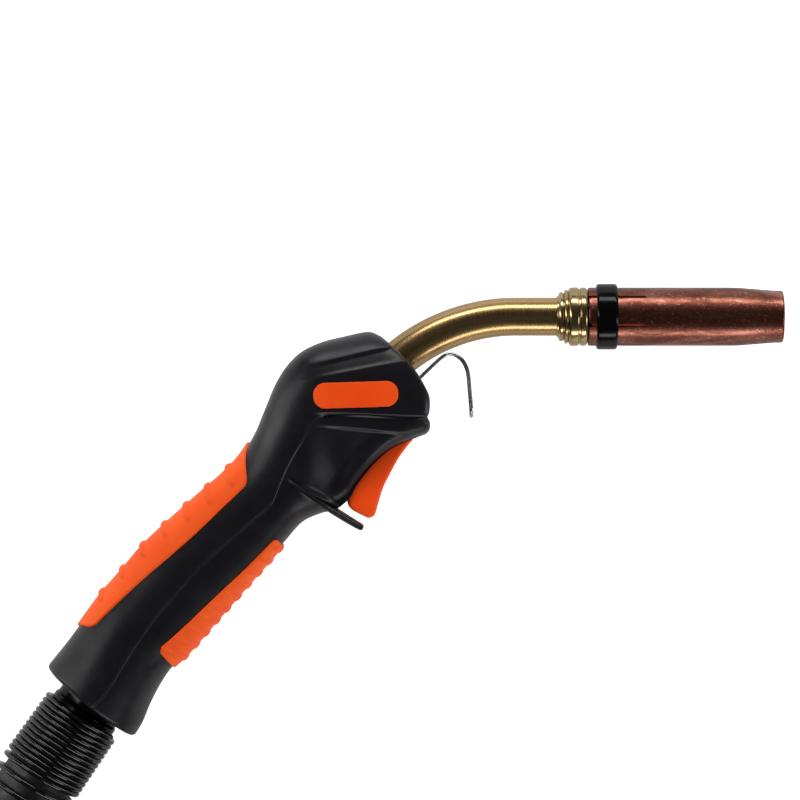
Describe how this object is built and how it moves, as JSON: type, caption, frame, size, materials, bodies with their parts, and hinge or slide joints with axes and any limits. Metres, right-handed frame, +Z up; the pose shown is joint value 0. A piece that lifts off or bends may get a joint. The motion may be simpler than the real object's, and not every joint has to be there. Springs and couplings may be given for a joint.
{
  "type": "mig welding torch",
  "caption": "Swan-neck MIG welding torch: two-part handle with grip pads, trigger, hook, pull-off nozzle, ball-jointed cable and a central connector.",
  "frame": {"origin": "middle of the footprint of the torch without its cable, on the surface that it lies on", "axes": "+X along the nozzle, the way the wire leaves; +Y from the trigger side to the back of the handle; +Z up, square to the plane of the neck and handle"},
  "size_m": [0.4083, 0.5579, 0.073],
  "materials": {
    "shell_plastic": "fine-grained glass-filled nylon",
    "grip_rubber": "soft orange overmould",
    "orange_plastic": "satin orange moulding",
    "brass": "drawn and brushed",
    "copper": "mottled bare copper",
    "steel": "bright wire",
    "black_steel": "black glossy coated wire",
    "black_plastic": "black moulding",
    "sheath_rubber": "black sheath",
    "ceramic": "white heat-proof moulding",
    "ptfe": "white insulating sleeve",
    "blue_hose": "blue hose",
    "red_hose": "red jacket",
    "strap": "woven strap"
  },
  "bodies": {
    "cable": {"ball_sleeve": "black_plastic", "support_spring": "black_steel", "cable_sheath": "sheath_rubber", "cable_coil": "sheath_rubber", "cable_tail": "sheath_rubber", "coil_tie": "strap", "connector_boot": "sheath_rubber", "connector_housing": "shell_plastic", "housing_screws": "steel", "adapter_block": "brass", "wire_guide_tube": "steel", "gas_seal_ring": "sheath_rubber"},
    "swivel_ring": {"ball_socket_ring": "black_plastic"},
    "handle": {"upper_shell": "shell_plastic", "lower_shell": "shell_plastic", "upper_grip_pad": "grip_rubber", "lower_grip_pad": "grip_rubber", "badge_left": "orange_plastic", "badge_right": "orange_plastic", "handle_screws": "steel", "swan_neck": "brass", "neck_insulation": "ptfe", "current_tube": "copper", "wire_liner": "steel", "neck_collar": "brass", "neck_insulator": "black_plastic", "tip_holder": "brass", "gas_diffuser": "ceramic", "contact_tip": "copper", "torch_hook": "steel", "trigger_pin": "steel", "switch_body": "black_plastic", "switch_terminals": "steel", "trigger_leads": "red_hose", "union_block": "brass", "neck_clamp": "black_plastic", "wire_conduit": "black_plastic", "gas_hose": "black_plastic", "water_hose": "blue_hose", "power_cable": "red_hose"},
    "trigger": {"trigger": "orange_plastic"},
    "switch_button": {"switch_button": "orange_plastic"},
    "nozzle": {"gas_nozzle": "copper", "nozzle_band": "black_plastic"},
    "connector_nut": {"connector_nut": "shell_plastic"},
    "contact_pin_1": {"contact_pin_1": "brass"},
    "contact_pin_2": {"contact_pin_2": "brass"}
  },
  "joints": [
    {"name": "ball_tilt", "type": "hinge", "parent": "cable", "child": "swivel_ring", "pos_m": [-0.119, -0.0632, 0.02185], "axis": [0, 0, 1], "range_deg": [-12, 14]},
    {"name": "handle_swivel", "type": "hinge", "parent": "swivel_ring", "child": "handle", "pos_m": [-0.119, -0.0632, 0.02185], "axis": [-0.6018, -0.7986, 0], "range_deg": [-90, 90]},
    {"name": "trigger_press", "type": "hinge", "parent": "handle", "child": "trigger", "pos_m": [-0.0014, 0.0361, 0.02185], "axis": [0, 0, -1], "range_deg": [0, 8], "stiffness_Nm_per_rad": 0.6, "springref_deg": -5.73},
    {"name": "switch_button_travel", "type": "slide", "parent": "handle", "child": "switch_button", "axis": [-0.6181, 0.7861, 0], "range_m": [0, 0.00125]},
    {"name": "nozzle_pull", "type": "slide", "parent": "handle", "child": "nozzle", "axis": [1, 0, 0], "range_m": [0, 0.08]},
    {"name": "nut_turn", "type": "hinge", "parent": "cable", "child": "connector_nut", "pos_m": [0.03249, -0.17199, 0.0505], "axis": [-0.1045, 0.9945, 0], "continuous": true},
    {"name": "contact_1_press", "type": "slide", "parent": "cable", "child": "contact_pin_1", "axis": [0.1045, -0.9945, 0], "range_m": [0, 0.0025], "stiffness_N_per_m": 400, "springref_m": -0.001},
    {"name": "contact_2_press", "type": "slide", "parent": "cable", "child": "contact_pin_2", "axis": [0.1045, -0.9945, 0], "range_m": [0, 0.0025], "stiffness_N_per_m": 400, "springref_m": -0.001}
  ],
  "couplings": [
    {"joint": "switch_button_travel", "follows": "trigger_press", "m_per_rad": 0.0087}
  ]
}
